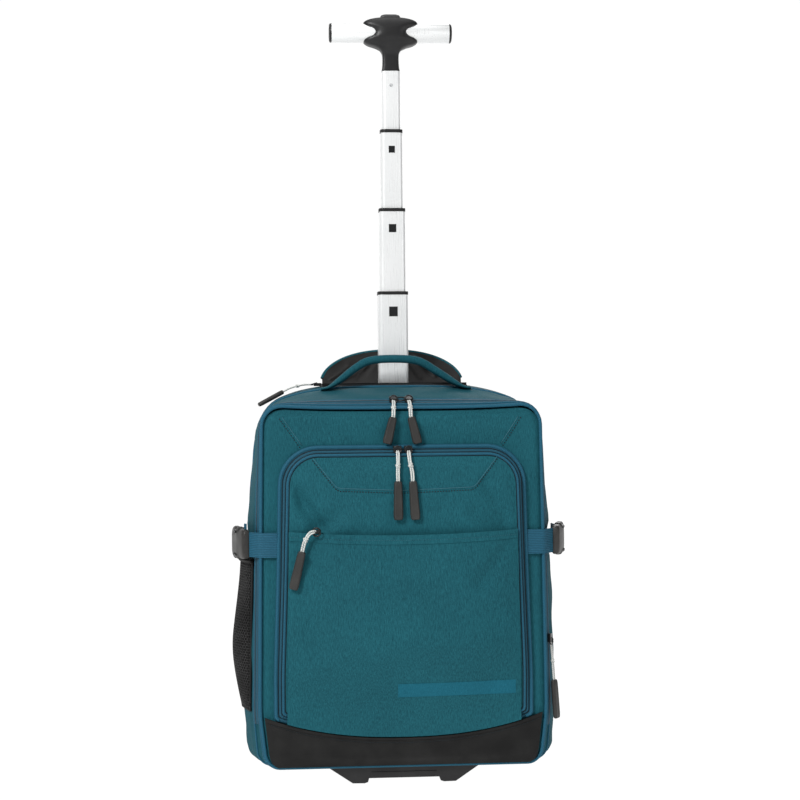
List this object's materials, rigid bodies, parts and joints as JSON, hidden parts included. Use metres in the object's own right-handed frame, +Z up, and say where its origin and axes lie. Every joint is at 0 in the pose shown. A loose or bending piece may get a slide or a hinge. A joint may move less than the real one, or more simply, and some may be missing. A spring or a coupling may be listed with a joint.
{
  "type": "wheeled backpack",
  "caption": "Wheeled backpack: soft two-compartment bag with front, slip and mesh pockets, side buckles, telescopic pole with T-handle, stand and wheels.",
  "frame": {"origin": "on the floor under the middle of the bag's box", "axes": "+Z up along the pole, -Y out of the bag's front, +X to the right as seen from the front"},
  "size_m": [0.38, 0.2197, 0.8745],
  "materials": {
    "teal_cloth": "teal heather polyester, matt",
    "black_coated_cloth": "black coated cloth, matt",
    "zip_tape": "blue-teal woven zip tape and piping",
    "black_lining": "black plain lining",
    "black_mesh": "black open knit mesh",
    "back_padding": "black air mesh over foam",
    "black_moulded": "black moulded plastic, fine grain",
    "brushed_tube": "satin anodised aluminium",
    "tyre": "black wheel with soft tread",
    "blue_webbing": "blue-teal ribbed webbing",
    "charcoal_plastic": "charcoal acetal",
    "pull_plastic": "charcoal soft plastic",
    "pull_cord": "pale grey round cord",
    "zip_slider": "black painted slider"
  },
  "bodies": {
    "bag": {"main_shell": "teal_cloth", "rear_shell": "teal_cloth", "front_panel": "teal_cloth", "front_pocket": "teal_cloth", "slip_pocket": "teal_cloth", "top_flap": "teal_cloth", "carry_handle": "teal_cloth", "base_guard": "black_coated_cloth", "main_zip": "zip_tape", "front_zip": "zip_tape", "flap_lining": "black_lining", "handle_well": "black_lining", "mesh_pocket": "black_mesh", "back_panel": "back_padding", "shoulder_strap_left": "back_padding", "shoulder_strap_right": "back_padding", "pole_housing": "black_moulded", "front_stand": "black_moulded", "wheel_bracket": "black_moulded", "side_strap_left": "blue_webbing", "side_strap_right": "blue_webbing", "buckle_left": "charcoal_plastic", "buckle_right": "charcoal_plastic", "upper_left_pull": "pull_plastic", "upper_right_pull": "pull_plastic", "lower_left_pull": "pull_plastic", "lower_right_pull": "pull_plastic", "slip_pull": "pull_plastic", "side_pull": "pull_plastic", "flap_pull": "pull_plastic", "upper_left_cord": "pull_cord", "upper_right_cord": "pull_cord", "lower_left_cord": "pull_cord", "lower_right_cord": "pull_cord", "slip_cord": "pull_cord", "side_cord": "pull_cord", "flap_cord": "pull_cord", "upper_sliders": "zip_slider", "lower_slider_left": "zip_slider", "lower_slider_right": "zip_slider", "slip_slider": "zip_slider", "side_slider": "zip_slider", "flap_slider": "zip_slider"},
    "pole_stage_1": {"pole_tube_4": "brushed_tube", "pole_collar_4": "black_moulded", "pole_lock_4": "black_moulded"},
    "pole_stage_2": {"pole_tube_3": "brushed_tube", "pole_collar_3": "black_moulded", "pole_lock_3": "black_moulded"},
    "pole_stage_3": {"pole_tube_2": "brushed_tube", "pole_collar_2": "black_moulded", "pole_lock_2": "black_moulded"},
    "pole_stage_4": {"pole_tube_1": "brushed_tube", "handle_hub": "black_moulded", "grip_tube": "brushed_tube", "grip_cap_left": "black_moulded", "grip_cap_right": "black_moulded"},
    "button": {"handle_button": "black_moulded"},
    "left_wheel": {"wheel_left": "tyre"},
    "right_wheel": {"wheel_right": "tyre"}
  },
  "joints": [
    {"name": "pole_slide_1", "type": "slide", "parent": "bag", "child": "pole_stage_1", "axis": [0, 0, 1], "range_m": [-0.156, 0]},
    {"name": "pole_slide_2", "type": "slide", "parent": "pole_stage_1", "child": "pole_stage_2", "axis": [0, 0, 1], "range_m": [-0.093, 0]},
    {"name": "pole_slide_3", "type": "slide", "parent": "pole_stage_2", "child": "pole_stage_3", "axis": [0, 0, 1], "range_m": [-0.086, 0]},
    {"name": "pole_slide_4", "type": "slide", "parent": "pole_stage_3", "child": "pole_stage_4", "axis": [0, 0, 1], "range_m": [-0.065, 0]},
    {"name": "button_press", "type": "slide", "parent": "pole_stage_4", "child": "button", "axis": [0, 0, 1], "range_m": [-0.002, 0], "stiffness_N_per_m": 400, "springref_m": 0.0015},
    {"name": "left_wheel_spin", "type": "hinge", "parent": "bag", "child": "left_wheel", "pos_m": [-0.112, 0.0747, 0.033], "axis": [1, 0, 0], "continuous": true},
    {"name": "right_wheel_spin", "type": "hinge", "parent": "bag", "child": "right_wheel", "pos_m": [0.112, 0.0747, 0.033], "axis": [1, 0, 0], "continuous": true}
  ]
}
